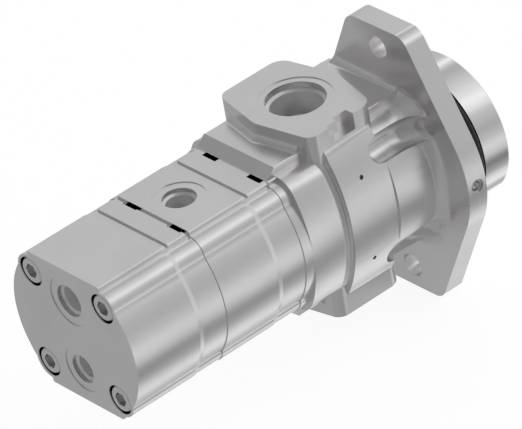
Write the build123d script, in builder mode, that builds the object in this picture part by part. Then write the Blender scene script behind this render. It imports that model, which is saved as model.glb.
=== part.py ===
from build123d import *
import os
from math import acos, atan2, cos, pi, radians, sin, tan

os.makedirs("parts", exist_ok=True)

# Positions along the shaft. The flange's mounting face is x = 0 and the pilot points along +X.
pilot_length = 32.3
flange_thickness = 13.5
front_section_back = -107.0
middle_joint_x = -113.2
middle_body_length = 58.0
rear_body_length = 65.0
lip_length = 17.1
lip_taper_length = 3.0
lip_relief = 0.5

# Cross-section shared by the three castings, about the middle of the gear pair.
gear_distance = 33.0
body_radius = 51.0
boss_radius = 10.7
front_boss_radius = 13.7
bolt_half_spacing = 30.0
flat_height = 43.5
flat_half_width = 30.0
front_flat_height = 49.5
front_flat_half_width = 29.0
front_side_radius = 79.0
flat_edge_radius = 1.0
lip_edge_radius = 1.6
lip_flat_drop = 0.3
pad_groove_width = 2.2
pad_groove_depth = 1.7
pry_slot_length = 3.2
pry_slot_width = 10.9
pry_slot_depth = 9.0
pry_slot_offset = 18.4
pry_slot_shift = -2.3

# Mounting flange and pilot.
flange_hole_radius = 7.15
flange_hole_reach = 73.0
flange_height = 87.0
flange_round_radius = 59.6
flange_corner_radius = 10.0
flange_corner_offset = 16.3
flange_flare = 10.0
flange_flare_length = 18.0
flare_steps = 5
pilot_radius = 44.7
pilot_chamfer = 1.2
ring_centre_x = 11.3
ring_groove_width = 4.6
ring_groove_depth = 2.9
ring_cord = 3.5
cut_margin = 1.0
same_place = 0.01
nose_cavity_radius = 31.0
nose_cavity_depth = 17.0
seal_bore_radius = 20.0
seal_bore_depth = 12.0
plug_hole_radius = 4.5
plug_hole_depth = 7.0
plug_centre_x = -6.75
plug_passage_radius = 2.0

# Large port pad of the front housing: a six-sided column from the top port to the bottom port.
pad_back_x = -93.4
pad_back_corner_x = -86.0
pad_front_corner_x = -40.5
pad_front_x = -31.8
pad_half_width = 38.15
pad_top_z = 59.8
pad_bottom_z = -59.8
pad_back_corner_radius = 7.0
pad_front_corner_radius = 9.5
pad_end_radius = 9.0
band_back_x = -78.7
band_front_x = -45.2
band_reach = 52.5
band_corner_z = 47.7
neck_reach = 53.7
neck_edge_offset = 48.0
neck_edge_z = 27.0
name_hole_radius = 1.3
name_hole_depth = 5.0
name_hole_z = 26.7
name_hole_x = -63.7
groove_radius = 8.2
pad_foot_cove = 4.5
groove_offset_y = 42.8
groove_centre_z = 32.8
groove_back_x = -45.5
notch_bottom_z = 49.7
notch_step_z = 55.4
notch_boxes = [
    (-72.4, -64.0, notch_step_z, 2.5),
    (-69.8, -64.0, notch_bottom_z, 2.5),
    (-64.5, -54.5, notch_bottom_z, 6.0),
]
valley_sections = [(-84.8, 0), (-83.0, 1.0), (-80.9, 0.15), (-79.4, 1.0), (-78.7, 0.2)]
flat_cove_radius = 4.8
shoulder_cove_radius = 6.0

# Ports: seat radius, seat depth, thread's inner radius, thread depth and spot face radius.
large_port = (17.5, 4.4, 15.42, 20.4, 21.8)
large_outlet = (14.4, 4.0, 12.42, 19.0, 19.0)
small_inlet = (9.85, 3.0, 8.19, 14.0, 15.3)
small_outlet = (8.75, 3.0, 7.19, 13.0, 14.0)
spot_face_depth = 0.5
seat_cone_depth = 1.0
large_port_x = -62.7
rear_port_offset = 22.5
large_passage_radius = 9.0
middle_passage_radius = 5.0
rear_passage_radius = 4.2
passage_end_z = 8.0

# Gear pumps: twelve-tooth spur gears in figure-of-eight pockets.
tooth_count = 12
pressure_angle = radians(20)
tip_radius = 19.0
root_radius = 13.5
backlash = 0.25
root_undercut = 0.015
tooth_root_overlap = 0.3
pocket_radius = 19.3
block_clearance = 0.15
journal_radius = 10.0
journal_clearance = 0.08
bush_wall = 1.5
end_gap = 0.15
front_pocket_x = -18.0
front_gear_span = (-82.4, -43.0)
middle_back_block_length = 10.2
middle_gear_length = 18.0
middle_fore_block_length = 12.0
stage_plate_thickness = 6.0
rear_fore_block_length = 15.0
rear_gear_length = 14.0
rear_back_block_length = 15.0
journal_chamfer = 0.6

# Shafts and splines.
drive_end_x = 44.0
drive_end_radius = 9.525
drive_end_back_x = 16.0
seal_land_radius = 9.8
shaft_hole_radius = 10.3
drive_end_chamfer = 1.2
tongue_slot_width = 6.4
tongue_slot_depth = 8.0
stub_root_radius = 5.6
stub_tip_radius = 6.8
stub_tooth_count = 10
spline_clearance = 0.15
sleeve_radius = 9.0
sleeve_chamfer = 0.5
sleeve_end_gap = 0.75
sleeve_hole_radius = 9.6
stub_gap = 0.5
rear_stub_gap = 3.2
rear_socket_gap = 2.2
plate_hole_radius = 7.6
face_gap = 0.1
bolt_head_chamfer = 0.8
seal_lip_gap = 0.06
seal_shell_width = 4.7
seal_wall = 1.0
seal_spring_depth = 3.0
seal_lip_height = 0.6
plug_face_y = -58.4
plug_length = 5.0
plug_ball_radius = 3.0
journal_gap = 0.3

# Bolts, pins and seals.
bolt_radius = 5.0
bolt_hole_radius = 5.4
bolt_thread_gap = 0.06
bolt_tip_x = -75.0
bolt_head_radius = 8.0
bolt_head_height = 10.0
bolt_head_below = 0.4
counterbore_radius = 9.0
socket_across_flats = 8.0
socket_depth = 5.0
thread_run_out = 2.0
pin_radius = 3.0
pin_clearance = 0.05
pin_half_length = 6.0
pin_offset_y = 45.1
joint_ring_radius = 21.6
joint_ring_width = 2.0
joint_ring_depth = 1.6
block_seal_radius = 15.4
block_seal_width = 2.0
block_seal_depth = 1.2
seal_gap = 0.1
relief_offset = 6.5
relief_width = 5.5
relief_height = 5.0
relief_depth = 1.5
seal_outer_gap = 0.05
seal_length = 7.0
snap_ring_thickness = 1.6
snap_ring_groove_depth = 1.2
snap_ring_width = 3.6
snap_ring_gap_angle = 40.0

# Sizes that follow from the ones above.
rear_joint_x = middle_joint_x - middle_body_length
rear_face_x = rear_joint_x - rear_body_length
stage_plate_x = rear_joint_x - stage_plate_thickness
middle_gear_back_x = rear_joint_x + middle_back_block_length
middle_gear_span = (middle_gear_back_x, middle_gear_back_x + middle_gear_length)
middle_pocket_x = middle_gear_span[1] + middle_fore_block_length
middle_port_x = (middle_gear_span[0] + middle_gear_span[1]) / 2
rear_gear_front_x = stage_plate_x - rear_fore_block_length
rear_gear_span = (rear_gear_front_x - rear_gear_length, rear_gear_front_x)
rear_pocket_x = rear_gear_span[0] - rear_back_block_length
rear_gallery_x = (rear_gear_span[0] + rear_gear_span[1]) / 2
sleeve_back_x = middle_pocket_x + sleeve_end_gap
sleeve_front_x = middle_joint_x - sleeve_end_gap
stub_meeting_x = (sleeve_back_x + sleeve_front_x) / 2
rear_stub_end_x = rear_gear_front_x + rear_stub_gap
rear_socket_end_x = rear_gear_front_x + rear_socket_gap
centre_y = gear_distance / 2
pitch_radius = gear_distance / 2
base_radius = pitch_radius * cos(pressure_angle)
bush_radius = journal_radius + journal_clearance + bush_wall
bolt_positions = [
    (centre_y + side * bolt_half_spacing, level * bolt_half_spacing)
    for side in (-1, 1)
    for level in (-1, 1)
]
gear_positions = [(0, 0), (gear_distance, 0)]
middle_lip_x = middle_joint_x - lip_length
rear_lip_x = rear_joint_x - lip_length
flare_back_x = -flange_thickness - flange_flare_length
seal_seat_x = pilot_length - nose_cavity_depth - seal_bore_depth
snap_ring_x = seal_seat_x + seal_length + 3 * seal_gap
pin_positions = [(centre_y - pin_offset_y, 0), (centre_y + pin_offset_y, 0)]
along_x = {"rotation": (0, 90, 0), "align": (Align.CENTER, Align.CENTER, Align.MIN)}
along_y = {"rotation": (-90, 0, 0), "align": (Align.CENTER, Align.CENTER, Align.MIN)}


def section(x, side_radius, flat, half_width, boss, edge_radius, growth=0.0):
    """Outline of a casting at x: two bulging sides, two flats and four bolt bosses.

    The bosses and the sides stand out by growth.
    """
    arc_radius = side_radius + growth
    arc_offset = side_radius - body_radius
    arc_height = bolt_half_spacing * side_radius / (side_radius - boss)
    with BuildSketch(Plane.YZ.offset(x)) as outline:
        with Locations((centre_y + arc_offset, 0)):
            Circle(arc_radius)
        with Locations((centre_y - arc_offset, 0)):
            Circle(arc_radius, mode=Mode.INTERSECT)
        with Locations((centre_y, 0)):
            Rectangle(4 * body_radius, 2 * arc_height, mode=Mode.INTERSECT)
            RectangleRounded(2 * half_width, 2 * flat, edge_radius)
        with Locations(*bolt_positions):
            Circle(boss + growth)
    return outline.sketch


def front_section(x, growth=0.0, flat_growth=0.0):
    """Outline of the main housing between its shoulder and its flange."""
    return section(
        x,
        front_side_radius,
        front_flat_height + flat_growth,
        front_flat_half_width,
        front_boss_radius,
        flat_edge_radius,
        growth,
    )


def cove_steps(length, rise, steps):
    """Points of a quarter-oval cove: distance along the wall and height above it."""
    return [
        (length * sin(step * pi / 2 / steps), rise * (1 - cos(step * pi / 2 / steps)))
        for step in range(steps + 1)
    ]


def pair_outline(x, radius):
    """Figure of eight around both gear axes."""
    with BuildSketch(Plane.YZ.offset(x)) as outline:
        with Locations(*gear_positions):
            Circle(radius)
    return outline.sketch


def ring_outline(x, inner, outer):
    """Figure-of-eight band between two offsets from the gear axes."""
    with BuildSketch(Plane.YZ.offset(x)) as outline:
        with Locations(*gear_positions):
            Circle(outer)
        with Locations(*gear_positions):
            Circle(inner, mode=Mode.SUBTRACT)
    return outline.sketch


def flange_outline(x):
    """Two-bolt flange: a round middle drawn out to two corners at each end, joined to the body's circle."""
    with BuildSketch(Plane.YZ.offset(x)) as outline:
        Circle(flange_round_radius)
        for side in (-1, 1):
            for level in (-1, 1):
                corner_z = level * (flange_height - flange_corner_radius)
                with Locations((side * flange_corner_offset, corner_z)):
                    Circle(flange_corner_radius)
        make_hull()
        with Locations((centre_y, 0)):
            Circle(body_radius)
    return outline.sketch


def is_pad_corner(vertex):
    """True for the points of the pad's outline that lie farthest out to its sides."""
    return abs(vertex.Y - centre_y) > pad_half_width - same_place


def pad_outline(z):
    """Six-sided outline of the port pad."""
    with BuildSketch(Plane.XY.offset(z)) as pad:
        with BuildLine():
            Polyline(
                (pad_front_x, centre_y),
                (pad_front_corner_x, centre_y + pad_half_width),
                (pad_back_corner_x, centre_y + pad_half_width),
                (pad_back_x, centre_y),
                (pad_back_corner_x, centre_y - pad_half_width),
                (pad_front_corner_x, centre_y - pad_half_width),
                close=True,
            )
        make_face()
        ends = pad.vertices().sort_by(Axis.X)
        fillet([ends[0], ends[-1]], radius=pad_end_radius)
        corners = pad.vertices().filter_by(is_pad_corner)
        fillet(corners.sort_by(Axis.X)[:2], radius=pad_back_corner_radius)
        corners = pad.vertices().filter_by(is_pad_corner)
        fillet(corners.sort_by(Axis.X)[-2:], radius=pad_front_corner_radius)
    return pad.sketch


def flat_cove(corner_x, corner_z, radius, level):
    """Cove in the corner between a flat and a wall that faces the rear, at the top or at the bottom."""
    low = level * corner_z
    high = level * (corner_z + radius)
    with BuildPart() as cove:
        with BuildSketch(Plane.XZ.offset(-centre_y - front_flat_half_width)):
            with BuildLine():
                Line((corner_x - radius, low), (corner_x, low))
                Line((corner_x, low), (corner_x, high))
                RadiusArc((corner_x, high), (corner_x - radius, low), level * radius)
            make_face()
        extrude(amount=2 * front_flat_half_width)
    return cove.part


def is_pad_foot(edge):
    """True for the edges where the port pad meets the flat it stands on."""
    box = edge.bounding_box()
    drop = max(abs(box.min.Z - front_flat_height), abs(box.max.Z - front_flat_height))
    reach = max(abs(box.min.Y - centre_y), abs(box.max.Y - centre_y))
    return drop < same_place and reach < pad_half_width + cut_margin


def holes(x, positions, radius):
    """Round outlines of one radius at several places."""
    with BuildSketch(Plane.YZ.offset(x)) as outline:
        with Locations(*positions):
            Circle(radius)
    return outline.sketch


def port_profile(seat, seat_depth, bore, depth, face, passage, passage_end):
    """Half section of a threaded port, with its mouth at the sketch's origin and its depth along -Y."""
    with BuildSketch(Plane.XZ) as profile:
        with BuildLine():
            Polyline(
                (0, spot_face_depth),
                (face, spot_face_depth),
                (face, -spot_face_depth),
                (seat, -spot_face_depth),
                (seat, -seat_depth),
                (bore, -seat_depth - seat_cone_depth),
                (bore, -depth),
                (passage, -depth - bore + passage),
                (passage, -passage_end),
                (0, -passage_end),
                close=True,
            )
        make_face()
    return profile.sketch


def port_cutter(port, passage, passage_end):
    """Solid to take out of a casting for one port, standing on its mouth and reaching down -Z."""
    with BuildPart() as cutter:
        revolve(port_profile(*port, passage, passage_end), axis=Axis.Z)
    return cutter.part


def spline_outline(x, root, tip, count):
    """Outline of a small straight-sided spline."""
    with BuildSketch(Plane.YZ.offset(x)) as outline:
        Circle(root)
        with PolarLocations(root, count):
            Rectangle(2 * (tip - root), pi * root / count)
        Circle(tip, mode=Mode.INTERSECT)
    return outline.sketch


def flank_angle(radius):
    """Half the angle that a tooth fills at one radius of the involute."""
    at_pitch = (pi * pitch_radius / tooth_count - backlash / 2) / (2 * pitch_radius)
    roll = acos(min(1.0, base_radius / radius))
    return at_pitch + tan(pressure_angle) - pressure_angle - (tan(roll) - roll)


def polar(radius, angle):
    return (radius * cos(angle), radius * sin(angle))


def gear_outline(x, axis_y, turn):
    """Twelve involute teeth on a root circle, one of them at the angle turn from +Y."""
    with BuildSketch(Plane.YZ.offset(x)) as outline:
        with Locations((axis_y, 0)):
            Circle(root_radius)
        for tooth in range(tooth_count):
            middle = turn + 2 * pi * tooth / tooth_count
            mean_radius = (base_radius + tip_radius) / 2
            root_angle = flank_angle(base_radius) - root_undercut
            edges = []
            for side in (-1, 1):
                edges.append(
                    [
                        polar(root_radius - tooth_root_overlap, middle + side * root_angle),
                        polar(base_radius, middle + side * flank_angle(base_radius)),
                        polar(mean_radius, middle + side * flank_angle(mean_radius)),
                        polar(tip_radius, middle + side * flank_angle(tip_radius)),
                    ]
                )
            low, high = edges
            with BuildSketch(Plane.YZ.offset(x), mode=Mode.PRIVATE) as tooth_face:
                with BuildLine(Plane.YZ.offset(x)):
                    Line(low[0], low[1])
                    ThreePointArc(low[1], low[2], low[3])
                    ThreePointArc(low[3], polar(tip_radius, middle), high[3])
                    ThreePointArc(high[3], high[2], high[1])
                    Line(high[1], high[0])
                    Line(high[0], low[0])
                make_face()
            with Locations((axis_y, 0)):
                add(tooth_face.sketch_local)
    return outline.sketch


def gear_shaft(back, front, axis_y, turn, back_journal, front_journal):
    """One gear with a journal on each side, from back_journal to front_journal."""
    with BuildPart() as shaft:
        extrude(gear_outline(back + end_gap, axis_y, turn), amount=front - back - 2 * end_gap)
        extrude(holes(back_journal, [(axis_y, 0)], journal_radius), amount=front_journal - back_journal)
        ends = shaft.faces().filter_by(Axis.X).sort_by(Axis.X)
        chamfer([ends[0].edges(), ends[-1].edges()], length=journal_chamfer)
    return shaft.part


def bearing_block(back, front, seal_face_x):
    """Bearing block for both gear axes, with bush bores, relief pockets and a seal groove on its outer end."""
    with BuildPart() as block:
        extrude(pair_outline(back, pocket_radius - block_clearance), amount=front - back)
        extrude(holes(back, gear_positions, bush_radius), amount=front - back, mode=Mode.SUBTRACT)
        inward = 1 if seal_face_x == back else -1
        groove = ring_outline(seal_face_x, block_seal_radius, block_seal_radius + block_seal_width)
        extrude(groove, amount=inward * block_seal_depth, mode=Mode.SUBTRACT)
        gear_face_x = front if seal_face_x == back else back
        with BuildSketch(Plane.YZ.offset(gear_face_x)):
            with Locations((centre_y, relief_offset), (centre_y, -relief_offset)):
                Rectangle(relief_width, relief_height)
        extrude(amount=-inward * relief_depth, mode=Mode.SUBTRACT)
    return block.part


def block_bushes(back, front):
    """Two plain bushes pressed in a bearing block."""
    with BuildPart() as bushes:
        extrude(holes(back, gear_positions, bush_radius), amount=front - back)
        inner = holes(back, gear_positions, journal_radius + journal_clearance)
        extrude(inner, amount=front - back, mode=Mode.SUBTRACT)
    return bushes.part


def block_seal(seal_face_x, inward):
    """Rubber seal in the groove of a bearing block's outer end."""
    inner = block_seal_radius + seal_gap
    outer = block_seal_radius + block_seal_width - seal_gap
    with BuildPart() as seal:
        extrude(ring_outline(seal_face_x, inner, outer), amount=inward * (block_seal_depth - seal_gap))
    return seal.part


def joint_ring(x):
    """Seal ring laid around the gear pocket at a joint between two castings."""
    inner = joint_ring_radius + seal_gap
    outer = joint_ring_radius + joint_ring_width - seal_gap
    with BuildPart() as ring:
        extrude(ring_outline(x, inner, outer), amount=seal_gap - joint_ring_depth)
    return ring.part


def gear_stack(back, front, gear_span):
    """Ends of the two bearing blocks that fill a pocket on each side of its gears."""
    return (back + face_gap, gear_span[0]), (gear_span[1], front - face_gap)


# Flared foot of the body's sides, cut to the flange's outline.
with BuildPart() as flare_part:
    rings = [
        front_section(flare_back_x + along, out, out)
        for along, out in cove_steps(flange_flare_length, flange_flare, flare_steps)
    ]
    for ring_back, ring_front in zip(rings, rings[1:]):
        loft([ring_back, ring_front], ruled=True)
    for level in (-1, 1):
        with Locations((-flange_thickness, centre_y, level * (front_flat_height + flange_flare))):
            Box(3 * flange_flare_length, 2 * front_flat_half_width, 2 * flange_flare, mode=Mode.SUBTRACT)
    with Locations((0, centre_y, 0)):
        Box(
            3 * (flange_thickness + flange_flare_length),
            4 * body_radius,
            4 * body_radius,
            align=(Align.CENTER, Align.MAX, Align.CENTER),
            mode=Mode.INTERSECT,
        )
body_flare = flare_part.part

# Foot of the body at the flange: its last stretch with a cove on each flat, cut to the flange's outline.
with BuildPart() as trimmed_part:
    trim_x = -flange_thickness - flat_cove_radius
    extrude(front_section(trim_x), amount=flat_cove_radius)
    add(body_flare)
    for level in (-1, 1):
        add(flat_cove(-flange_thickness, front_flat_height, flat_cove_radius, level))
    extrude(flange_outline(0), amount=flare_back_x - flange_thickness, mode=Mode.INTERSECT)
body_foot = trimmed_part.part

# Cove round the foot of the port pad where it stands on the housing's flat.
with BuildPart() as foot_part:
    pad_length = pad_front_x - pad_back_x
    with BuildSketch(Plane.XY.offset(front_flat_height)):
        with Locations((large_port_x, centre_y)):
            Rectangle(2 * pad_length, 4 * pad_half_width)
    extrude(amount=-pad_foot_cove)
    extrude(pad_outline(front_flat_height), amount=2 * pad_foot_cove)
    fillet(foot_part.edges().filter_by(is_pad_foot), radius=pad_foot_cove)
    with Locations((large_port_x, centre_y, front_flat_height)):
        Box(
            2 * pad_length,
            2 * front_flat_half_width - 2 * flat_edge_radius,
            2 * pad_foot_cove,
            mode=Mode.INTERSECT,
        )
    with Locations((front_section_back + shoulder_cove_radius, centre_y, front_flat_height)):
        Box(
            -flange_thickness - front_section_back - shoulder_cove_radius,
            4 * pad_half_width,
            4 * pad_foot_cove,
            align=(Align.MIN, Align.CENTER, Align.CENTER),
            mode=Mode.INTERSECT,
        )
pad_foot = foot_part.part

# The housing at the drive end: one casting from the middle joint to the end of the pilot.
with BuildPart() as main_housing:
    stub = section(middle_joint_x, body_radius, flat_height, flat_half_width, boss_radius, flat_edge_radius)
    extrude(stub, amount=front_section_back - middle_joint_x)
    extrude(front_section(front_section_back), amount=valley_sections[0][0] - front_section_back)
    for (valley_back, back_inset), (valley_front, front_inset) in zip(valley_sections, valley_sections[1:]):
        loft(
            [front_section(valley_back, -back_inset), front_section(valley_front, -front_inset)],
            ruled=True,
        )
    extrude(front_section(valley_sections[-1][0]), amount=trim_x - valley_sections[-1][0])
    add(body_foot)

    # Bulge on each side of the port pad.
    with BuildSketch(Plane.YZ.offset(band_back_x)):
        with BuildLine():
            near = centre_y - pad_half_width
            far = centre_y + pad_half_width
            ThreePointArc((near, -band_corner_z), (centre_y - band_reach, 0), (near, band_corner_z))
            Line((near, band_corner_z), (far, band_corner_z))
            ThreePointArc((far, band_corner_z), (centre_y + band_reach, 0), (far, -band_corner_z))
            Line((far, -band_corner_z), (near, -band_corner_z))
        make_face()
    extrude(amount=band_front_x - band_back_x)

    # Rounder stretch of each side between the bulge and the flange's foot.
    with BuildSketch(Plane.YZ.offset(band_front_x)):
        with BuildLine():
            near = centre_y - neck_edge_offset
            far = centre_y + neck_edge_offset
            ThreePointArc((near, -neck_edge_z), (centre_y - neck_reach, 0), (near, neck_edge_z))
            Line((near, neck_edge_z), (far, neck_edge_z))
            ThreePointArc((far, neck_edge_z), (centre_y + neck_reach, 0), (far, -neck_edge_z))
            Line((far, -neck_edge_z), (near, -neck_edge_z))
        make_face()
    extrude(amount=-flange_thickness - band_front_x)

    # Six-sided port pad with a cove round its foot at the top and at the bottom.
    extrude(pad_outline(pad_bottom_z), amount=pad_top_z - pad_bottom_z)
    add(pad_foot)
    add(pad_foot.mirror(Plane.XY))

    # Flange plate.
    extrude(flange_outline(0), amount=-flange_thickness)

    # Pilot.
    with BuildSketch(Plane.YZ):
        Circle(pilot_radius)
    extrude(amount=pilot_length)
    chamfer(main_housing.faces().sort_by(Axis.X)[-1].edges(), length=pilot_chamfer)

    # Coves across the flats, from the stub up to the shoulder.
    for level in (-1, 1):
        add(flat_cove(front_section_back, flat_height, shoulder_cove_radius, level))

    # Round-ended scallops beside the bulge, which rise out of the body as its foot widens to the flange.
    groove_direction = atan2(groove_centre_z - bolt_half_spacing, groove_offset_y - bolt_half_spacing)
    groove_rise = flange_flare + groove_radius
    for side in (-1, 1):
        for level in (-1, 1):
            with Locations((groove_back_x, centre_y + side * groove_offset_y, level * groove_centre_z)):
                Sphere(groove_radius, mode=Mode.SUBTRACT)
                Cylinder(groove_radius, flare_back_x - groove_back_x, **along_x, mode=Mode.SUBTRACT)
            rings = []
            for along, out in cove_steps(flange_flare_length, groove_rise, flare_steps):
                ring_y = centre_y + side * (groove_offset_y + out * cos(groove_direction))
                ring_z = level * (groove_centre_z + out * sin(groove_direction))
                rings.append(holes(flare_back_x + along, [(ring_y, ring_z)], groove_radius))
            for ring_back, ring_front in zip(rings, rings[1:]):
                loft([ring_back, ring_front], ruled=True, mode=Mode.SUBTRACT)

    # Gear pocket, shaft hole and the cavities of the pilot.
    extrude(
        pair_outline(middle_joint_x, pocket_radius),
        amount=front_pocket_x - middle_joint_x,
        mode=Mode.SUBTRACT,
    )
    with Locations((front_pocket_x, 0, 0)):
        Cylinder(shaft_hole_radius, pilot_length - front_pocket_x, **along_x, mode=Mode.SUBTRACT)
    with Locations((seal_seat_x, 0, 0)):
        Cylinder(seal_bore_radius, pilot_length - seal_seat_x, **along_x, mode=Mode.SUBTRACT)
    with Locations((pilot_length - nose_cavity_depth, 0, 0)):
        Cylinder(nose_cavity_radius, nose_cavity_depth, **along_x, mode=Mode.SUBTRACT)
    with Locations((snap_ring_x, 0, 0)):
        Cylinder(
            seal_bore_radius + snap_ring_groove_depth,
            snap_ring_thickness + 2 * seal_gap,
            **along_x,
            mode=Mode.SUBTRACT,
        )
    with BuildSketch(Plane.YZ.offset(ring_centre_x - ring_groove_width / 2)):
        Circle(pilot_radius + cut_margin)
        Circle(pilot_radius - ring_groove_depth, mode=Mode.SUBTRACT)
    extrude(amount=ring_groove_width, mode=Mode.SUBTRACT)

    # Threaded holes for the long bolts, pin holes and flange holes.
    extrude(
        holes(middle_joint_x, bolt_positions, bolt_radius + bolt_thread_gap),
        amount=bolt_tip_x + thread_run_out - middle_joint_x,
        mode=Mode.SUBTRACT,
    )
    extrude(
        holes(middle_joint_x, pin_positions, pin_radius + pin_clearance),
        amount=pin_half_length + seal_gap,
        mode=Mode.SUBTRACT,
    )
    extrude(
        holes(-flange_thickness, [(0, flange_hole_reach), (0, -flange_hole_reach)], flange_hole_radius),
        amount=flange_thickness,
        mode=Mode.SUBTRACT,
    )

    # Ports at the top and bottom of the pad.
    with Locations((large_port_x, centre_y, pad_top_z)):
        add(port_cutter(large_port, large_passage_radius, pad_top_z - passage_end_z), mode=Mode.SUBTRACT)
    with Locations(Location((large_port_x, centre_y, pad_bottom_z), (180, 0, 0))):
        add(
            port_cutter(large_outlet, large_passage_radius, -pad_bottom_z - passage_end_z),
            mode=Mode.SUBTRACT,
        )

    # Stepped notch in the top edge of the pad, and the two rivet holes of the bare name-plate field.
    for low_x, high_x, low_z, depth in notch_boxes:
        with Locations((low_x, centre_y - pad_half_width, low_z)):
            Box(
                high_x - low_x,
                2 * depth,
                pad_top_z,
                align=(Align.MIN, Align.CENTER, Align.MIN),
                mode=Mode.SUBTRACT,
            )
    for level in (-1, 1):
        with Locations((name_hole_x, centre_y - band_reach, level * name_hole_z)):
            Cylinder(
                name_hole_radius,
                name_hole_depth + band_reach - pad_half_width,
                rotation=(90, 0, 0),
                mode=Mode.SUBTRACT,
            )

    # Drain from the shaft hole to the plug in the flange's edge.
    with Locations((plug_centre_x, -flange_round_radius, 0)):
        Cylinder(plug_passage_radius, flange_round_radius, **along_y, mode=Mode.SUBTRACT)
        Cylinder(plug_hole_radius, plug_hole_depth, **along_y, mode=Mode.SUBTRACT)

main_housing.part.label = "main_housing"
export_step(main_housing.part, "parts/main_housing.step")


def stage_body(back, front, lip_start, groove_xs):
    """Outer shape of a stacked casting: full section, taper, lip, grooves across the flats and pry slots."""
    full = (body_radius, flat_height, flat_half_width, boss_radius, flat_edge_radius)
    lip = (
        body_radius,
        flat_height - lip_flat_drop,
        flat_half_width - lip_relief,
        boss_radius,
        lip_edge_radius,
        -lip_relief,
    )
    taper_start = lip_start - lip_taper_length
    with BuildPart() as body:
        extrude(section(back, *full), amount=taper_start - back)
        loft([section(taper_start, *full), section(lip_start, *lip)], ruled=True)
        extrude(section(lip_start, *lip), amount=front - lip_start)
        for level in (-1, 1):
            for groove_x in groove_xs:
                with Locations((groove_x, centre_y, level * flat_height)):
                    Box(
                        pad_groove_width,
                        2 * flat_half_width + cut_margin,
                        2 * pad_groove_depth,
                        mode=Mode.SUBTRACT,
                    )
            for side in (-1, 1):
                slot_y = centre_y + pry_slot_shift + side * pry_slot_offset
                with Locations((front, slot_y, level * flat_height)):
                    Box(2 * pry_slot_length, pry_slot_width, 2 * pry_slot_depth, mode=Mode.SUBTRACT)
    return body.part


# Middle casting: closed at the lip, open towards the rear joint.
with BuildPart() as middle_body:
    add(stage_body(rear_joint_x, middle_joint_x, middle_lip_x, [middle_lip_x + pad_groove_width / 2]))
    extrude(
        pair_outline(rear_joint_x, pocket_radius),
        amount=middle_pocket_x - rear_joint_x,
        mode=Mode.SUBTRACT,
    )
    extrude(
        holes(middle_pocket_x, [(0, 0)], sleeve_hole_radius),
        amount=middle_joint_x - middle_pocket_x,
        mode=Mode.SUBTRACT,
    )
    extrude(
        holes(rear_joint_x, bolt_positions, bolt_hole_radius),
        amount=middle_joint_x - rear_joint_x,
        mode=Mode.SUBTRACT,
    )
    for joint_x, inward in ((rear_joint_x, 1), (middle_joint_x, -1)):
        extrude(
            holes(joint_x, pin_positions, pin_radius + pin_clearance),
            amount=inward * (pin_half_length + seal_gap),
            mode=Mode.SUBTRACT,
        )
    extrude(
        ring_outline(middle_joint_x, joint_ring_radius, joint_ring_radius + joint_ring_width),
        amount=-joint_ring_depth,
        mode=Mode.SUBTRACT,
    )
    with Locations((middle_port_x, centre_y, flat_height)):
        add(port_cutter(small_inlet, middle_passage_radius, flat_height - passage_end_z), mode=Mode.SUBTRACT)
    with Locations(Location((middle_port_x, centre_y, -flat_height), (180, 0, 0))):
        add(port_cutter(small_outlet, middle_passage_radius, flat_height - passage_end_z), mode=Mode.SUBTRACT)

middle_body.part.label = "middle_body"
export_step(middle_body.part, "parts/middle_body.step")

# Rear casting: open towards the rear joint, with both of its ports in the end face.
with BuildPart() as rear_body:
    add(
        stage_body(
            rear_face_x,
            rear_joint_x,
            rear_lip_x,
            [rear_lip_x + pad_groove_width / 2, rear_joint_x - pad_groove_width / 2],
        )
    )
    extrude(
        pair_outline(rear_joint_x, pocket_radius),
        amount=rear_pocket_x - rear_joint_x,
        mode=Mode.SUBTRACT,
    )
    extrude(
        holes(rear_face_x, bolt_positions, bolt_hole_radius),
        amount=rear_joint_x - rear_face_x,
        mode=Mode.SUBTRACT,
    )
    extrude(
        holes(rear_face_x, bolt_positions, counterbore_radius),
        amount=bolt_head_below + bolt_head_height,
        mode=Mode.SUBTRACT,
    )
    extrude(
        holes(rear_joint_x, pin_positions, pin_radius + pin_clearance),
        amount=-pin_half_length - seal_gap,
        mode=Mode.SUBTRACT,
    )
    extrude(
        ring_outline(rear_joint_x, joint_ring_radius, joint_ring_radius + joint_ring_width),
        amount=-joint_ring_depth,
        mode=Mode.SUBTRACT,
    )
    for level, port in ((1, small_inlet), (-1, small_outlet)):
        with Locations(Location((rear_face_x, centre_y, level * rear_port_offset), (0, -90, 0))):
            add(
                port_cutter(port, rear_passage_radius, rear_gallery_x + rear_passage_radius - rear_face_x),
                mode=Mode.SUBTRACT,
            )
        with Locations((rear_gallery_x, centre_y, level * (rear_port_offset + passage_end_z) / 2)):
            Cylinder(rear_passage_radius, rear_port_offset - passage_end_z, mode=Mode.SUBTRACT)

rear_body.part.label = "rear_body"
export_step(rear_body.part, "parts/rear_body.step")

# Four long socket-head bolts that clamp the three castings.
with BuildPart() as through_bolts:
    head_x = rear_face_x + bolt_head_below
    extrude(holes(head_x, bolt_positions, bolt_head_radius), amount=bolt_head_height)
    chamfer(through_bolts.faces().filter_by(Axis.X).group_by(Axis.X)[0].edges(), length=bolt_head_chamfer)
    extrude(holes(head_x, bolt_positions, bolt_radius), amount=bolt_tip_x - head_x)
    with BuildSketch(Plane.YZ.offset(head_x)):
        with Locations(*bolt_positions):
            RegularPolygon(socket_across_flats / 2, 6, major_radius=False)
    extrude(amount=socket_depth, mode=Mode.SUBTRACT)

through_bolts.part.label = "through_bolts"
export_step(through_bolts.part, "parts/through_bolts.step")

# Dowel pins: two at each joint.
with BuildPart() as dowel_pins:
    for joint_x in (rear_joint_x, middle_joint_x):
        extrude(holes(joint_x - pin_half_length, pin_positions, pin_radius), amount=2 * pin_half_length)

dowel_pins.part.label = "dowel_pins"
export_step(dowel_pins.part, "parts/dowel_pins.step")

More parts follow.
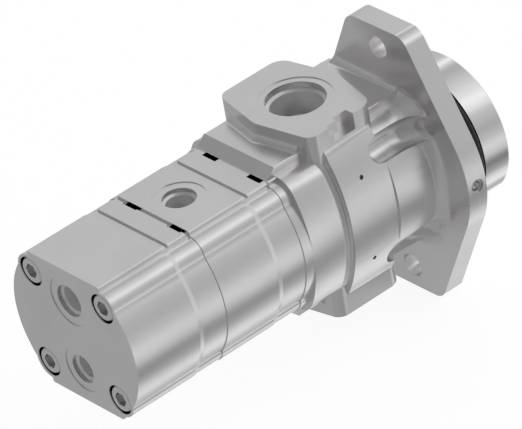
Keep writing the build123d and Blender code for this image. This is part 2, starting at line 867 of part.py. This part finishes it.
# Seal rings at the two joints.
for name, joint_x in (("rear_joint_ring", rear_joint_x), ("middle_joint_ring", middle_joint_x)):
    ring = joint_ring(joint_x)
    ring.label = name
    export_step(ring, f"parts/{name}.step")

# Plate that divides the middle gears from the rear gears, and its seal.
with BuildPart() as stage_plate:
    plate_front_x = rear_joint_x - face_gap
    extrude(
        pair_outline(stage_plate_x + face_gap, pocket_radius - block_clearance),
        amount=stage_plate_thickness - 2 * face_gap,
    )
    extrude(holes(stage_plate_x, [(0, 0)], plate_hole_radius), amount=stage_plate_thickness, mode=Mode.SUBTRACT)
    extrude(
        ring_outline(plate_front_x, block_seal_radius, block_seal_radius + block_seal_width),
        amount=-block_seal_depth,
        mode=Mode.SUBTRACT,
    )

stage_plate.part.label = "stage_plate"
export_step(stage_plate.part, "parts/stage_plate.step")

plate_seal = block_seal(rear_joint_x - face_gap, -1)
plate_seal.label = "stage_plate_seal"
export_step(plate_seal, "parts/stage_plate_seal.step")

# Bearing blocks with their bushes and seals, one block on each side of each gear pair.
stacks = {
    "front": (middle_joint_x, front_pocket_x, front_gear_span),
    "middle": (rear_joint_x, middle_pocket_x, middle_gear_span),
    "rear": (rear_pocket_x, stage_plate_x, rear_gear_span),
}
for stage, (pocket_back, pocket_front, gear_span) in stacks.items():
    back_span, front_span = gear_stack(pocket_back, pocket_front, gear_span)
    for place, span, outer_x, inward in (
        ("back", back_span, back_span[0], 1),
        ("fore", front_span, front_span[1], -1),
    ):
        pieces = {
            f"{stage}_{place}_block": bearing_block(span[0], span[1], outer_x),
            f"{stage}_{place}_bushes": block_bushes(span[0], span[1]),
            f"{stage}_{place}_seal": block_seal(outer_x, inward),
        }
        for name, piece in pieces.items():
            piece.label = name
            export_step(piece, f"parts/{name}.step")

# Driven gears, half a tooth out of step with the drive gears.
half_tooth = pi / tooth_count
for stage, (pocket_back, pocket_front, gear_span) in stacks.items():
    idler = gear_shaft(
        *gear_span,
        gear_distance,
        pi + half_tooth,
        pocket_back + journal_gap,
        pocket_front - journal_gap,
    )
    idler.label = f"{stage}_idler"
    export_step(idler, f"parts/{stage}_idler.step")

# Drive shaft with the front drive gear, slotted for a tongue at its outer end and splined at its inner end.
with BuildPart() as drive_shaft:
    add(
        gear_shaft(
            *front_gear_span,
            0,
            0,
            middle_joint_x + journal_gap,
            front_pocket_x - journal_gap,
        )
    )
    with Locations((front_pocket_x - journal_gap, 0, 0)):
        Cylinder(seal_land_radius, drive_end_back_x - front_pocket_x + journal_gap, **along_x)
    with Locations((drive_end_back_x, 0, 0)):
        Cylinder(drive_end_radius, drive_end_x - drive_end_back_x, **along_x)
    chamfer(drive_shaft.faces().sort_by(Axis.X)[-1].edges(), length=drive_end_chamfer)
    extrude(
        spline_outline(stub_meeting_x + stub_gap, stub_root_radius, stub_tip_radius, stub_tooth_count),
        amount=middle_joint_x + journal_gap - stub_meeting_x - stub_gap,
    )
    with Locations((drive_end_x, 0, 0)):
        Box(2 * tongue_slot_depth, 3 * drive_end_radius, tongue_slot_width, mode=Mode.SUBTRACT)

drive_shaft.part.label = "drive_shaft"
export_step(drive_shaft.part, "parts/drive_shaft.step")

# Sleeve that joins the drive shaft to the middle drive gear inside the middle casting's wall.
with BuildPart() as coupling_sleeve:
    extrude(holes(sleeve_back_x, [(0, 0)], sleeve_radius), amount=sleeve_front_x - sleeve_back_x)
    chamfer(coupling_sleeve.faces().filter_by(Axis.X).edges(), length=sleeve_chamfer)
    extrude(
        spline_outline(
            sleeve_back_x,
            stub_root_radius + spline_clearance,
            stub_tip_radius + spline_clearance,
            stub_tooth_count,
        ),
        amount=sleeve_front_x - sleeve_back_x,
        mode=Mode.SUBTRACT,
    )

coupling_sleeve.part.label = "coupling_sleeve"
export_step(coupling_sleeve.part, "parts/coupling_sleeve.step")

# Middle drive gear with a splined stub at each end.
with BuildPart() as middle_drive_gear:
    add(
        gear_shaft(
            *middle_gear_span,
            0,
            0,
            rear_joint_x + journal_gap,
            middle_pocket_x - journal_gap,
        )
    )
    extrude(
        spline_outline(middle_pocket_x - journal_gap, stub_root_radius, stub_tip_radius, stub_tooth_count),
        amount=stub_meeting_x - stub_gap - middle_pocket_x + journal_gap,
    )
    extrude(
        spline_outline(rear_stub_end_x, stub_root_radius, stub_tip_radius, stub_tooth_count),
        amount=rear_joint_x + journal_gap - rear_stub_end_x,
    )

middle_drive_gear.part.label = "middle_drive_gear"
export_step(middle_drive_gear.part, "parts/middle_drive_gear.step")

# Rear drive gear, whose front journal holds a splined socket for the stub of the middle drive gear.
with BuildPart() as rear_drive_gear:
    add(
        gear_shaft(
            *rear_gear_span,
            0,
            0,
            rear_pocket_x + journal_gap,
            stage_plate_x - journal_gap,
        )
    )
    extrude(
        spline_outline(
            rear_socket_end_x,
            stub_root_radius + spline_clearance,
            stub_tip_radius + spline_clearance,
            stub_tooth_count,
        ),
        amount=stage_plate_x - rear_socket_end_x,
        mode=Mode.SUBTRACT,
    )

rear_drive_gear.part.label = "rear_drive_gear"
export_step(rear_drive_gear.part, "parts/rear_drive_gear.step")

# Lip seal on the drive shaft.
with BuildPart() as shaft_seal:
    seal_back_x = seal_seat_x + seal_gap
    seal_front_x = seal_back_x + seal_length
    rim_radius = seal_bore_radius - seal_outer_gap
    lip_radius = seal_land_radius + seal_lip_gap
    with BuildSketch(Plane.XZ):
        with BuildLine():
            Polyline(
                (seal_back_x, rim_radius),
                (seal_front_x, rim_radius),
                (seal_front_x, rim_radius - seal_shell_width),
                (seal_front_x - seal_wall, rim_radius - seal_shell_width),
                (seal_front_x - seal_spring_depth, seal_land_radius + seal_spring_depth),
                (seal_front_x - seal_wall, seal_land_radius + seal_lip_height + seal_wall),
                (seal_front_x - seal_wall, seal_land_radius + seal_lip_height),
                (seal_front_x - seal_length / 2, lip_radius),
                (seal_back_x + seal_wall, seal_land_radius + 2 * seal_lip_height),
                (seal_back_x, seal_land_radius + 2 * seal_lip_height),
                close=True,
            )
        make_face()
    revolve(axis=Axis.X)

shaft_seal.part.label = "shaft_seal"
export_step(shaft_seal.part, "parts/shaft_seal.step")

# Open snap ring that keeps the lip seal in place.
with BuildPart() as snap_ring:
    snap_outer = seal_bore_radius + snap_ring_groove_depth - seal_gap
    extrude(holes(snap_ring_x + seal_gap, [(0, 0)], snap_outer), amount=snap_ring_thickness)
    inner_hole = holes(snap_ring_x + seal_gap, [(0, 0)], snap_outer - snap_ring_width)
    extrude(inner_hole, amount=snap_ring_thickness, mode=Mode.SUBTRACT)
    with BuildSketch(Plane.YZ.offset(snap_ring_x)):
        with BuildLine():
            Polyline(
                (0, 0),
                polar(2 * snap_outer, radians(-90 - snap_ring_gap_angle / 2)),
                polar(2 * snap_outer, radians(-90 + snap_ring_gap_angle / 2)),
                close=True,
            )
        make_face()
    extrude(amount=2 * snap_ring_thickness, mode=Mode.SUBTRACT)

snap_ring.part.label = "snap_ring"
export_step(snap_ring.part, "parts/snap_ring.step")

# Rubber ring on the pilot.
with BuildPart() as pilot_ring:
    with BuildSketch(Plane.XZ):
        with Locations((ring_centre_x, pilot_radius - ring_groove_depth + seal_outer_gap + ring_cord / 2)):
            Circle(ring_cord / 2)
    revolve(axis=Axis.X)

pilot_ring.part.label = "pilot_ring"
export_step(pilot_ring.part, "parts/pilot_ring.step")

# Ball plug pressed in the drain hole of the flange's edge.
with BuildPart() as flange_plug:
    with Locations((plug_centre_x, plug_face_y, 0)):
        Cylinder(plug_hole_radius - seal_outer_gap, plug_length, **along_y)
        Sphere(plug_ball_radius, mode=Mode.SUBTRACT)

flange_plug.part.label = "flange_plug"
export_step(flange_plug.part, "parts/flange_plug.step")
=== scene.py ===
import math

import bmesh
import bpy
import numpy as np
from mathutils import Matrix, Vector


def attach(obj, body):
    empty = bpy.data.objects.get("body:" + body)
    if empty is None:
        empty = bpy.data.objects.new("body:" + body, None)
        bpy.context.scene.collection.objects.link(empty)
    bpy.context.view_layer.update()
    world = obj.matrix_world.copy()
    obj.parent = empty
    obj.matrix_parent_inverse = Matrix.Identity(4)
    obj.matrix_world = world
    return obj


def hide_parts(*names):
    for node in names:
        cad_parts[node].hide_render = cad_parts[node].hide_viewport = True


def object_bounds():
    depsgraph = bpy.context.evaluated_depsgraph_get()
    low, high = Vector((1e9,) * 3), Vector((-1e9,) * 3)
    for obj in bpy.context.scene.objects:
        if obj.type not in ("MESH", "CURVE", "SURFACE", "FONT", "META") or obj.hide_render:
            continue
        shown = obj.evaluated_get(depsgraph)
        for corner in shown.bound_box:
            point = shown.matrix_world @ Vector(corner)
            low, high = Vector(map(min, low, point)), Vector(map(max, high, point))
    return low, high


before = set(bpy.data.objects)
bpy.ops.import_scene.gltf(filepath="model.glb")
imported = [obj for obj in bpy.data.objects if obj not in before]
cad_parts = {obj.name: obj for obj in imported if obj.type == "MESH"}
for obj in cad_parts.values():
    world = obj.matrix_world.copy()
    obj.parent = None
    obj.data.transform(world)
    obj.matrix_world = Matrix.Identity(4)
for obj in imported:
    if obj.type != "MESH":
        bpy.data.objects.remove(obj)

cad_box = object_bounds()


# Camera. The pump is seen from above, from beyond its rear end and from its -Y side. The camera stands
# far away with a long lens, so the pump's edges run nearly parallel.
image_width = 522
focal_length_px = 5649.085
sensor_width = 36.0
nearest_seen = 0.1
farthest_seen = 50
camera_place = (-1.643420, -2.085819, 1.703351)
camera_right = np.array((0.73631806, -0.66027866, -0.14787769))
camera_back = np.array((-0.49580507, -0.67521639, 0.54613200))

camera_back /= np.linalg.norm(camera_back)
camera_right -= camera_back * camera_right.dot(camera_back)
camera_right /= np.linalg.norm(camera_right)
camera_up = np.cross(camera_back, camera_right)
turn = Matrix(np.column_stack((camera_right, camera_up, camera_back)).tolist()).to_4x4()

lens = bpy.data.cameras.new("camera")
lens.sensor_width = sensor_width
lens.lens = focal_length_px / image_width * sensor_width
lens.clip_start = nearest_seen
lens.clip_end = farthest_seen
camera = bpy.data.objects.new("camera", lens)
camera.matrix_world = Matrix.Translation(camera_place) @ turn
bpy.context.scene.collection.objects.link(camera)
bpy.context.scene.camera = camera
bpy.context.scene.view_settings.view_transform = "Standard"


# Studio. Soft boxes stand all round the pump, as long strips beside its shaft line: satin metal shows
# them as broad light and dark bands along its round sides. What the camera sees past the pump is white.
class Value:
    """A shader socket that takes part in sums; an operator on it adds the Math node for it."""

    def __init__(self, tree, socket):
        self.tree = tree
        self.socket = socket

    def node(self, kind, settings=None, output=0, **inputs):
        """Adds a node and returns one of its outputs.

        Its settings are set first, then its inputs. An input goes by its name, with _ for a space, or by
        its number after an i.
        """
        node = self.tree.nodes.new(kind)
        for name, setting in (settings or {}).items():
            if name == "stops":
                ramp = node.color_ramp
                while len(ramp.elements) < len(setting):
                    ramp.elements.new(1)
                for element, (place, level) in zip(ramp.elements, setting):
                    element.position = place
                    element.color = (level, level, level, 1)
            elif name == "interpolation":
                node.color_ramp.interpolation = setting
            else:
                setattr(node, name, setting)
        for name, value in inputs.items():
            key = int(name[1:]) if name[1:].isdigit() else name.replace("_", " ")
            if isinstance(value, Value):
                self.tree.links.new(value.socket, node.inputs[key])
            else:
                node.inputs[key].default_value = value
        return Value(self.tree, node.outputs[output]) if len(node.outputs) else None

    def math(self, operation, *others):
        """One Math node on this socket and the others."""
        inputs = {f"i{place}": value for place, value in enumerate((self, *others))}
        return self.node("ShaderNodeMath", {"operation": operation}, **inputs)

    def __add__(self, other):
        return self.math("ADD", other)

    def __mul__(self, other):
        return self.math("MULTIPLY", other)

    def __sub__(self, other):
        return self.math("SUBTRACT", other)

    def __rsub__(self, other):
        return self * -1.0 + other

    __radd__ = __add__
    __rmul__ = __mul__

    def step(self, low, high):
        """Rises smoothly from 0 at low to 1 at high."""
        return self.node(
            "ShaderNodeMapRange",
            {"interpolation_type": "SMOOTHSTEP"},
            Value=self, From_Min=low, From_Max=high, To_Min=0.0, To_Max=1.0,
        )

    def mix(self, low, high):
        """Goes from low to high as this socket goes from 0 to 1."""
        return self * (high - low) + low

    def blend(self, first, second):
        """Mixes two colours by this socket."""
        return self.node("ShaderNodeMix", {"data_type": "RGBA"}, output=2, i0=self, i6=first, i7=second)

    def split(self):
        """The three parts of a vector."""
        parts = self.node("ShaderNodeSeparateXYZ", i0=self).socket.node.outputs
        return [Value(self.tree, part) for part in parts]


def start_tree(owner):
    """Empties the node tree of a material or a world and returns it wrapped."""
    owner.use_nodes = True
    owner.node_tree.nodes.clear()
    return Value(owner.node_tree, None)


# Brightness by the angle round the shaft line in degrees, from straight up (0) towards the -Y side (90),
# straight down (180) and the +Y side (270). The strips light the pump's sides. A dimmer ring stands
# beyond its rear end and an even light beyond its drive end. Each takes over from the strips where the
# direction's part along the shaft line goes from the first value of its fade to the second.
strip_levels = [
    (-51, 0.56), (-45, 0.62), (-37, 1.16), (-30, 0.72), (-21, 0.46), (-8, 0.53), (9, 0.69),
    (24, 0.84), (40, 1.06), (50, 0.90), (60, 0.60), (72, 0.52), (84, 0.44), (96, 0.54),
    (112, 0.77), (122, 0.66), (138, 0.19), (152, 0.36), (168, 0.84), (178, 0.98), (190, 0.46),
    (198, 0.42), (210, 1.20), (222, 0.92), (236, 0.50), (255, 0.56),
]
rear_end_levels = [
    (20, 0.34), (70, 0.26), (110, 0.24), (139, 0.33), (190, 0.32), (231, 0.39), (262, 0.37),
    (306, 0.34), (335, 0.26),
]
rear_end_fade = (0.38, -0.02)
drive_end_level = 0.72
drive_end_fade = (0.62, 0.80)

world = bpy.data.worlds.new("studio")
bpy.context.scene.world = world
tree = start_tree(world)
direction = tree.node("ShaderNodeTexCoord", output=0)
along, across, high = direction.split()
around = (across * -1.0).math("ARCTAN2", high).math("DIVIDE", 2 * math.pi).math("FRACT")


def ring_of_light(levels):
    """Brightness round the shaft line from a list of angles and levels, closed at straight up."""
    stops = sorted(((degrees % 360) / 360, level) for degrees, level in levels)
    seam = (stops[0][1] + stops[-1][1]) / 2
    stops = [(0.0, seam)] + stops + [(1.0, seam)]
    return around.node("ShaderNodeValToRGB", {"stops": stops, "interpolation": "EASE"}, Fac=around)


beside = along.step(*drive_end_fade).mix(ring_of_light(strip_levels), drive_end_level)
level = along.step(*rear_end_fade).mix(beside, ring_of_light(rear_end_levels))
seen = tree.node("ShaderNodeLightPath", output="Is Camera Ray")
background = tree.node("ShaderNodeBackground", Color=seen.mix(level, 1.0), Strength=1.0)
tree.node("ShaderNodeOutputWorld", Surface=background)

# The floor is matt white paper, which shows the pump's shadow. Metal doesn't mirror it.
floor_size = 6.0
floor_gap = 0.0005
paper_colour = (0.30, 0.30, 0.30, 1)
paper_glow_colour = (1, 1, 1, 1)
paper_glow = 0.86

floor_height = cad_box[0][2] - floor_gap
square = np.array(((-1, -1), (1, -1), (1, 1), (-1, 1))) * floor_size / 2
mesh = bpy.data.meshes.new("floor")
mesh.from_pydata(np.insert(square, 2, floor_height, axis=1).tolist(), [], [(0, 1, 2, 3)])
floor = bpy.data.objects.new("floor", mesh)
bpy.context.scene.collection.objects.link(floor)
paper = bpy.data.materials.new("white_paper")
tree = start_tree(paper)
matte = tree.node("ShaderNodeBsdfDiffuse", Color=paper_colour)
glow = tree.node("ShaderNodeEmission", Color=paper_glow_colour, Strength=paper_glow)
lit = tree.node("ShaderNodeAddShader", i0=matte, i1=glow)
clear = tree.node("ShaderNodeBsdfTransparent")
in_gloss = tree.node("ShaderNodeLightPath", output="Is Glossy Ray")
shown = tree.node("ShaderNodeMixShader", i0=in_gloss, i1=lit, i2=clear)
tree.node("ShaderNodeOutputMaterial", Surface=shown)
floor.data.materials.append(paper)


# The three castings: the main housing with its flange, pilot and port pad, the middle casting and the
# rear casting. They are cast aluminium, machined on their faces and blasted to one even satin grey, and
# four long bolts hold them together.
weld_distance = 2e-6
smooth_angle = math.radians(40)
normal_digits = 3
plane_step = 2e-4
lip_ends = (-0.1913, -0.1883, -0.1333, -0.1303)
lip_reach = 1e-5
lip_turn = 0.04


def corner_normals(mesh):
    """Normals for the corners of a triangle mesh.

    A corner takes the mean of the faces round its vertex that turn from its own face by less than the
    smooth angle, each weighed by the area of the whole flat that it lies in. So a flat stays flat up to its
    rounded edge, and a round side is even. Where the lip of a casting starts, the turn along the shaft
    is kept as a crease.
    """
    faces = len(mesh.polygons)
    normals = np.empty(faces * 3)
    areas = np.empty(faces)
    corners = np.empty(faces * 3, dtype=np.int32)
    points = np.empty(len(mesh.vertices) * 3)
    mesh.polygons.foreach_get("normal", normals)
    mesh.polygons.foreach_get("area", areas)
    mesh.loops.foreach_get("vertex_index", corners)
    mesh.vertices.foreach_get("co", points)
    normals = normals.reshape(-1, 3)
    points = points.reshape(-1, 3)
    offsets = np.einsum("ij,ij->i", normals, points[corners[::3]])
    planes = np.column_stack((np.round(normals, normal_digits), np.round(offsets / plane_step)))
    flat_of_face = np.unique(planes, axis=0, return_inverse=True)[1].ravel()
    weight = np.bincount(flat_of_face, weights=areas)[flat_of_face]

    # Every pair of corners that share a vertex, as places in the list of corners sorted by vertex.
    order = np.argsort(corners, kind="stable")
    vertex, first, count = np.unique(corners[order], return_index=True, return_counts=True)
    group = np.repeat(np.arange(len(vertex)), count)
    repeats = count[group]
    one = np.repeat(np.arange(len(order)), repeats)
    step = np.arange(len(one)) - np.repeat(np.cumsum(repeats) - repeats, repeats)
    other = first[group[one]] + step
    face_one = order[one] // 3
    face_other = order[other] // 3

    cosines = np.einsum("ij,ij->i", normals[face_one], normals[face_other])
    along = points[vertex[group[one]], 0]
    at_lip = np.min(np.abs(along[:, None] - np.array(lip_ends)), axis=1) < lip_reach
    turned = np.abs(normals[face_one, 0] - normals[face_other, 0]) > lip_turn
    smooth = (cosines > math.cos(smooth_angle)) & ~(at_lip & turned)
    share = normals[face_other] * (weight[face_other] * smooth)[:, None]
    total = np.column_stack([
        np.bincount(one, weights=share[:, axis], minlength=len(order)) for axis in range(3)
    ])
    total /= np.linalg.norm(total, axis=1)[:, None]
    result = np.empty_like(total)
    result[order] = total
    return result


def welded_copy(node, name, body):
    """A copy of a CAD node with its loose triangles joined, so that its round faces shade smoothly."""
    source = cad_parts[node]
    joined = bmesh.new()
    joined.from_mesh(source.data)
    bmesh.ops.remove_doubles(joined, verts=joined.verts, dist=weld_distance)
    bmesh.ops.dissolve_degenerate(joined, edges=joined.edges, dist=weld_distance)
    bmesh.ops.triangulate(joined, faces=joined.faces)
    mesh = bpy.data.meshes.new(name)
    joined.to_mesh(mesh)
    joined.free()
    mesh.materials.clear()
    mesh.shade_smooth()
    mesh.normals_split_custom_set(corner_normals(mesh).tolist())
    piece = bpy.data.objects.new(name, mesh)
    bpy.context.scene.collection.objects.link(piece)
    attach(piece, body)
    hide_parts(node)
    return piece


cloud_scale = 38.0
cloud_range = (0.25, 0.75)
cloud_shades = (0.97, 1.02)
cloud_dulling = 0.01
speckle_scale = 2600.0
speckle_dulling = 0.04
speckle_bump = 0.2
turned_colour = (0.83, 0.83, 0.83, 1)
turned_roughness = 0.17
# The bore walls' paler colour is painted light that lifts the shade in the port bores; their roughness and
# metal below are a cut thread's finish.
bore_painted_light_colour = (0.92, 0.91, 0.91, 1)
thread_roughness = 0.48
thread_metal = 0.80
# Black painted into the narrow gaps round the bolt heads and into the pry slots: painted shade, deep in them.
painted_shade_colour = (0.004, 0.004, 0.004, 1)


def blasted_metal(name, tint, roughness, grain, painted_shade=None, thread_and_light=None, turned=None):
    """Satin metal with a slow cloudy change of tone and a fine blasted grain as bump, grain metres deep.

    Where the shade mask is 1 it is painted black, as shade deep in narrow gaps. Where the bore mask is 1 it
    is paler, duller and less metallic: the paler colour is painted light in the bores, the dullness a cut
    thread's finish. It is brighter and smoother where turned is 1.
    """
    material = bpy.data.materials.new(name)
    tree = start_tree(material)
    place = tree.node("ShaderNodeTexCoord", output=3)
    clouds = tree.node("ShaderNodeTexNoise", Vector=place, Scale=cloud_scale, Detail=3.0, Roughness=0.55)
    speckle = tree.node("ShaderNodeTexNoise", Vector=place, Scale=speckle_scale, Detail=2.0, Roughness=0.6)
    tone = clouds.step(*cloud_range)
    dark, light = ((*(shade * part for part in tint), 1) for shade in cloud_shades)
    colour = tone.blend(dark, light)
    rough = tone.mix(roughness + cloud_dulling, roughness - cloud_dulling) + (speckle - 0.5) * speckle_dulling
    metal = 1.0
    if turned:
        bright = turned(place)
        colour = bright.blend(colour, turned_colour)
        rough = bright.mix(rough, turned_roughness)
    if thread_and_light:
        bore_mask = thread_and_light(place)
        colour = bore_mask.blend(colour, bore_painted_light_colour)
        rough = bore_mask.mix(rough, thread_roughness)
        metal = bore_mask.mix(metal, thread_metal)
    if painted_shade:
        colour = painted_shade(place).blend(colour, painted_shade_colour)
    surface = tree.node("ShaderNodeBump", Strength=speckle_bump, Distance=grain, Height=speckle)
    shader = tree.node(
        "ShaderNodeBsdfPrincipled",
        Base_Color=colour, Metallic=metal, Roughness=rough, Normal=surface,
    )
    tree.node("ShaderNodeOutputMaterial", Surface=shader)
    return material


# Where the painted black shade, the bores' painted light with their thread finish, and the turned finish
# lie. A pair of values is a soft edge, over which a mask changes. A top bore's row gives its place along
# the shaft, its radius, its floor and its mouth.
body_middle = 0.0165
bolt_offset = 0.030
gap_edge = (0.00902, 0.00908)
gap_mouth = (-0.23555, -0.23535)
gap_floor = (-0.2252, -0.2250)
pry_joints = (-0.1728, -0.1148)
pry_middle = 0.0142
pry_offset = 0.0184
pry_end = (0.00550, 0.00552)
pry_side = (0.00168, 0.0017)
pry_floor = (0.0340, 0.0342)
pry_mouth = (0.0427, 0.0430)
top_bores = ((-0.0627, 0.0158, 0.036, 0.0552), (-0.152, 0.0084, 0.026, 0.0402))
end_bore_offset = 0.0225
end_bore_radius = 0.0084
end_bore_mouth = -0.2331
end_bore_floor = -0.2200
bore_edge = 0.0001
pilot_foot = (0.0002, 0.0006)


def gap_painted_shade(place):
    """1 in the narrow gaps round the bolt heads and in the pry slots, painted black there as shade; 0
    elsewhere.

    The gap is told by the distance to the nearest of four bolt axes, a slot by the distances to the
    middle of its length and width.
    """
    along, across, high = place.split()
    height = high.math("ABSOLUTE")
    from_axis = ((across - body_middle).math("ABSOLUTE") - bolt_offset).math("POWER", 2.0)
    from_axis = (from_axis + (height - bolt_offset).math("POWER", 2.0)).math("SQRT")
    gap = (1.0 - from_axis.step(*gap_edge)) * along.step(*gap_mouth) * (1.0 - along.step(*gap_floor))
    beside = ((across - pry_middle).math("ABSOLUTE") - pry_offset).math("ABSOLUTE")
    slot = (1.0 - beside.step(*pry_end)) * (1.0 - height.step(*pry_mouth)) * height.step(*pry_floor)
    rear, front = (1.0 - (along - joint).math("ABSOLUTE").step(*pry_side) for joint in pry_joints)
    return (gap + slot * (rear + front)).math("MINIMUM", 1.0)


def threaded_bores(place):
    """1 on the walls of the large top port, the middle casting's top port and the two ports of the end face.

    Each is told by the distance to the bore's axis and by how deep it lies in the bore. There the paler
    colour is painted light that lifts the bores' shade.
    """
    along, across, high = place.split()
    sideways = (across - body_middle).math("POWER", 2.0)

    def wall(distance, radius, depth, start, end):
        """1 nearer to the axis than the radius, from start to end of the depth."""
        inside = 1.0 - distance.step(radius, radius + bore_edge)
        return inside * depth.step(start, start + bore_edge) * (1.0 - depth.step(end, end + bore_edge))

    walls = []
    for middle, radius, floor, mouth in top_bores:
        distance = (sideways + (along - middle).math("POWER", 2.0)).math("SQRT")
        walls.append(wall(distance, radius, high, floor, mouth))
    level = high.math("ABSOLUTE") - end_bore_offset
    distance = (sideways + level.math("POWER", 2.0)).math("SQRT")
    walls.append(wall(distance, end_bore_radius, along, end_bore_mouth, end_bore_floor))
    return (walls[0] + walls[1] + walls[2]).math("MINIMUM", 1.0)


def pilot_turning(place):
    """1 on the pilot, which is turned after blasting."""
    along = place.split()[0]
    return along.step(*pilot_foot)


# The gaps round the bolt heads and the pry slots are painted black as shade, the port bores paler as light.
casting_metal = blasted_metal(
    "blasted_aluminium", tint=(0.80, 0.79, 0.79), roughness=0.26, grain=0.00003,
    painted_shade=gap_painted_shade, thread_and_light=threaded_bores, turned=pilot_turning,
)
for node in ("main_housing", "middle_body", "rear_body"):
    casting = welded_copy(node, node + "_casting", "pump_body")
    casting.data.materials.append(casting_metal)


# The steps behind the port pad, at the top and at the bottom. Each falls in one flat slope to the joint
# with the middle casting: a wedge of the same cast metal fills the main housing's cove up to its slope.
step_top_x = -0.1070
step_foot_x = -0.1130
step_top_height = 0.0495
step_foot_height = 0.0435
step_half_width = 0.02898


def carried_wedges():
    """The corners and faces of both wedges.

    A three-cornered profile in x and height is carried straight across the width, from one side to the
    other, once upwards and once mirrored downwards with its faces turned over.
    """
    profile_x = np.array((step_top_x, step_foot_x, step_top_x))
    profile_height = np.array((step_top_height, step_foot_height, step_foot_height))
    sides = body_middle + np.array((-1, 1)) * step_half_width
    up_or_down, side, point = np.meshgrid((1, -1), sides, np.arange(len(profile_x)), indexing="ij")
    corners = np.stack((profile_x[point], side, up_or_down * profile_height[point]), axis=-1).reshape(-1, 3)
    upper = [(0, 3, 4, 1), (1, 4, 5, 2), (2, 5, 3, 0), (0, 1, 2), (3, 5, 4)]
    upper_corners = len(corners) // 2
    lower = [tuple(upper_corners + corner for corner in reversed(face)) for face in upper]
    return corners.tolist(), upper + lower


corners, faces = carried_wedges()
mesh = bpy.data.meshes.new("step_slopes")
mesh.from_pydata(corners, [], faces)
slopes = bpy.data.objects.new("step_slopes", mesh)
bpy.context.scene.collection.objects.link(slopes)
slopes.data.materials.append(casting_metal)
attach(slopes, "pump_body")


# The four long socket-head bolts. They are plated steel, nearly as light as the castings, and their heads
# sit in counterbores of the rear casting.
bolt_metal = blasted_metal("plated_steel", tint=(0.76, 0.76, 0.77), roughness=0.28, grain=0.00001)
bolts = welded_copy("through_bolts", "long_bolts", "pump_body")
bolts.data.materials.append(bolt_metal)


# The ball plug in the flange's edge, the dowel pins and the snap ring, all bright ground steel. The plug
# and the pins are pressed into the castings, and the ring springs into its groove.
def dress(node, material):
    """Gives a CAD node that keeps its own shape its finish."""
    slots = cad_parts[node].data.materials
    slots.clear()
    slots.append(material)


ground_steel = blasted_metal("ground_steel", tint=(0.62, 0.62, 0.63), roughness=0.25, grain=0.00001)
plug = welded_copy("flange_plug", "drain_plug", "pump_body")
plug.data.materials.append(ground_steel)
for node in ("dowel_pins", "snap_ring"):
    dress(node, ground_steel)


# The rubber seals: the ring in the pilot's groove, the rings at the joints and behind the bearing
# blocks, and the lip seal. They are moulded from black nitrile rubber with a faint sheen.
def moulded_rubber(name):
    """Near-black rubber with a soft mottle and a little sheen."""
    material = bpy.data.materials.new(name)
    tree = start_tree(material)
    place = tree.node("ShaderNodeTexCoord", output=3)
    mottle = tree.node("ShaderNodeTexNoise", Vector=place, Scale=300.0, Detail=3.0, Roughness=0.6)
    colour = mottle.blend((0.010, 0.010, 0.010, 1), (0.022, 0.022, 0.022, 1))
    surface = tree.node("ShaderNodeBump", Strength=0.2, Distance=0.00003, Height=mottle)
    shader = tree.node(
        "ShaderNodeBsdfPrincipled",
        Base_Color=colour, Roughness=mottle.mix(0.42, 0.58), Normal=surface,
    )
    tree.node("ShaderNodeOutputMaterial", Surface=shader)
    return material


rubber = moulded_rubber("nitrile_rubber")
ring = welded_copy("pilot_ring", "pilot_rubber_ring", "pump_body")
ring.data.materials.append(rubber)
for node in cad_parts:
    if node.endswith("_seal") or node.endswith("joint_ring"):
        dress(node, rubber)


# Inside: gears and shafts of ground steel, which turn in bronze bushes. The bushes are pressed into
# machined aluminium blocks, and a sleeve joins the shafts. Only the drive shaft's end shows, in the pilot.
block_metal = blasted_metal("machined_aluminium", tint=(0.74, 0.74, 0.745), roughness=0.30, grain=0.00001)
bronze = blasted_metal("bearing_bronze", tint=(0.62, 0.45, 0.24), roughness=0.32, grain=0.00001)
gear_steel = blasted_metal("ground_gear_steel", tint=(0.60, 0.60, 0.605), roughness=0.24, grain=0.00001)
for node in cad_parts:
    if node.endswith("_block") or node == "stage_plate":
        dress(node, block_metal)
    elif node.endswith("_bushes"):
        dress(node, bronze)
    elif node.endswith("_idler") or node in ("coupling_sleeve", "middle_drive_gear", "rear_drive_gear"):
        dress(node, gear_steel)
shaft = welded_copy("drive_shaft", "outer_shaft", "drive_train")
shaft.data.materials.append(gear_steel)
